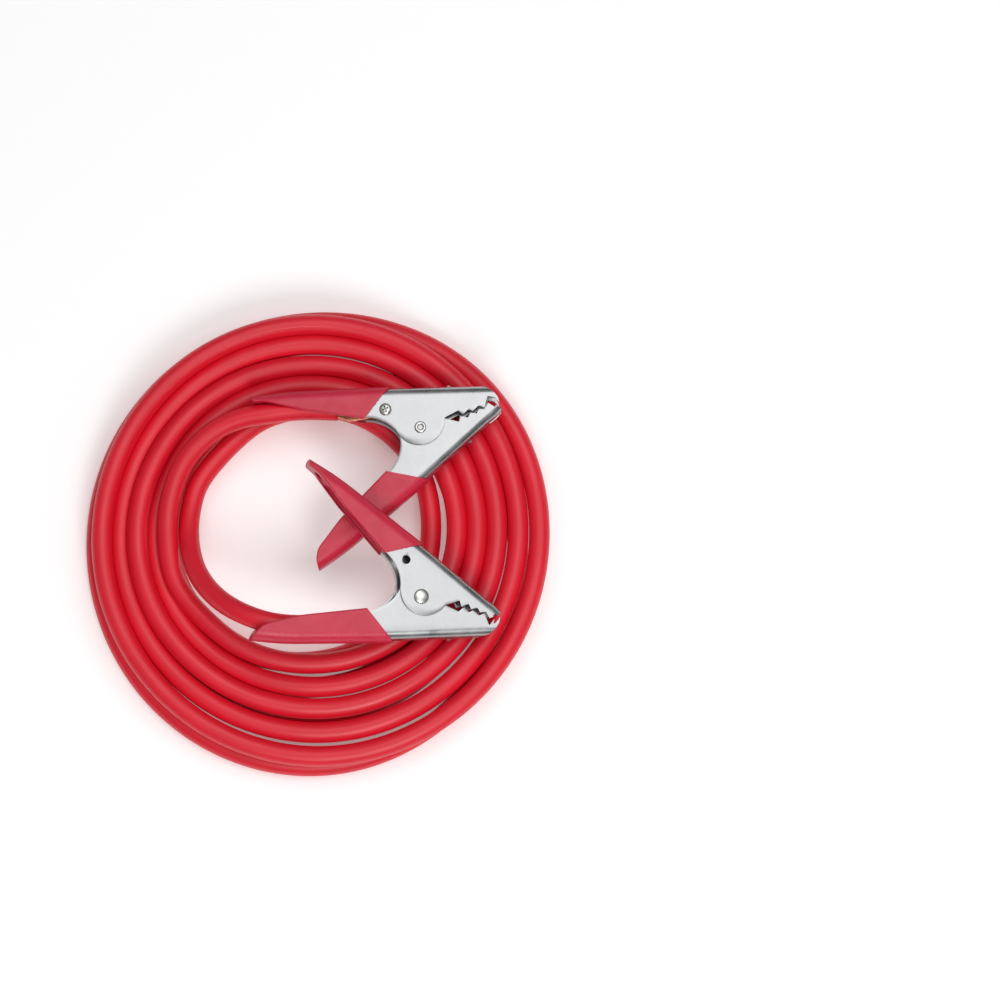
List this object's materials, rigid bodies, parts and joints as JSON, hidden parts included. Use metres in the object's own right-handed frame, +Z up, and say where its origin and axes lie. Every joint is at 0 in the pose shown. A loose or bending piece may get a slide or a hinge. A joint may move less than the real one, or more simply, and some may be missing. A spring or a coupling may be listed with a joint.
{
  "type": "car jumper cable",
  "caption": "Heavy red starter cable wound into a flat two-layer coil, with a toothed steel spring clamp in red vinyl grips on each end, both clamps lying across the coil.",
  "frame": {"origin": "on the floor under the middle of the coil", "axes": "+Z up through the coil's middle, +X to the right and +Y away from the viewer as the picture is seen from above"},
  "size_m": [0.353, 0.353, 0.0955],
  "materials": {
    "jacket": "smooth semi-gloss red jacket",
    "grip_vinyl": "dipped red vinyl, satin",
    "jaw_steel": "bright zinc plated sheet",
    "fastener_steel": "plated, darker in the recesses",
    "spring_steel": "oiled spring wire",
    "copper": "bare stranded copper"
  },
  "bodies": {
    "root": {"cable_coil": "jacket", "cable_lead_1": "jacket", "cable_lead_2": "jacket", "clamp_1_cable_jaw": "jaw_steel", "clamp_1_cable_grip": "grip_vinyl", "clamp_1_rivet": "fastener_steel", "clamp_1_spring": "spring_steel", "clamp_1_screw": "fastener_steel", "clamp_1_conductor": "copper", "clamp_2_cable_jaw": "jaw_steel", "clamp_2_cable_grip": "grip_vinyl", "clamp_2_rivet": "fastener_steel", "clamp_2_spring": "spring_steel", "clamp_2_screw": "fastener_steel", "clamp_2_conductor": "copper"},
    "clamp_1_free": {"clamp_1_free_jaw": "jaw_steel", "clamp_1_free_grip": "grip_vinyl"},
    "clamp_2_free": {"clamp_2_free_jaw": "jaw_steel", "clamp_2_free_grip": "grip_vinyl"}
  },
  "joints": [
    {"name": "clamp_1_pivot", "type": "hinge", "parent": "root", "child": "clamp_1_free", "pos_m": [0.0783, 0.0781, 0.04475], "axis": [0, 0, -1], "range_deg": [0, 32], "stiffness_Nm_per_rad": 2.5, "springref_deg": -14.32, "deforming": ["clamp_1_spring"]},
    {"name": "clamp_2_pivot", "type": "hinge", "parent": "root", "child": "clamp_2_free", "pos_m": [0.0772, -0.0511, 0.0577], "axis": [0.2392, -0.074, 0.9681], "range_deg": [0, 32], "stiffness_Nm_per_rad": 2.5, "springref_deg": -14.32, "deforming": ["clamp_2_spring"]}
  ]
}
